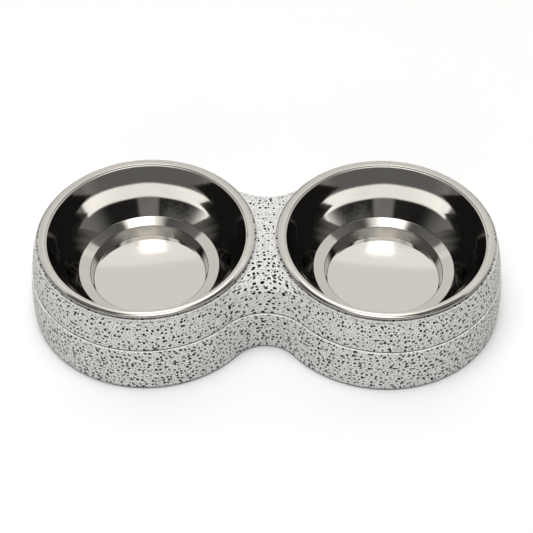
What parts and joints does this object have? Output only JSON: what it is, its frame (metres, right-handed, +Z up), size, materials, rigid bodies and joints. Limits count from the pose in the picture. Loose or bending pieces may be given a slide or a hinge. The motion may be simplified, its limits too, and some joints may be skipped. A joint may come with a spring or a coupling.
{
  "type": "double pet bowl",
  "caption": "Double pet bowl: two polished steel bowls that lift out of a speckled moulded base with a drawn-in waist and a step round its sides, on rubber feet.",
  "frame": {"origin": "on the floor under the middle of the waist, level with the soles of the feet", "axes": "+X along the pair of bowls towards the right bowl, +Y from the front to the back, +Z up"},
  "size_m": [0.3656, 0.1838, 0.0723],
  "materials": {
    "base": "satin melamine with dark stone speckle",
    "bowl_steel": "polished stainless steel",
    "foot_rubber": "matte"
  },
  "bodies": {
    "base": {"base_shell": "base", "left_end_foot": "foot_rubber", "left_front_foot": "foot_rubber", "left_back_foot": "foot_rubber", "right_end_foot": "foot_rubber", "right_front_foot": "foot_rubber", "right_back_foot": "foot_rubber"},
    "left_bowl": {"left_bowl": "bowl_steel"},
    "right_bowl": {"right_bowl": "bowl_steel"}
  },
  "joints": [
    {"name": "left_bowl_lift", "type": "slide", "parent": "base", "child": "left_bowl", "axis": [0, 0, 1], "range_m": [0, 0.08]},
    {"name": "right_bowl_lift", "type": "slide", "parent": "base", "child": "right_bowl", "axis": [0, 0, 1], "range_m": [0, 0.08]}
  ]
}
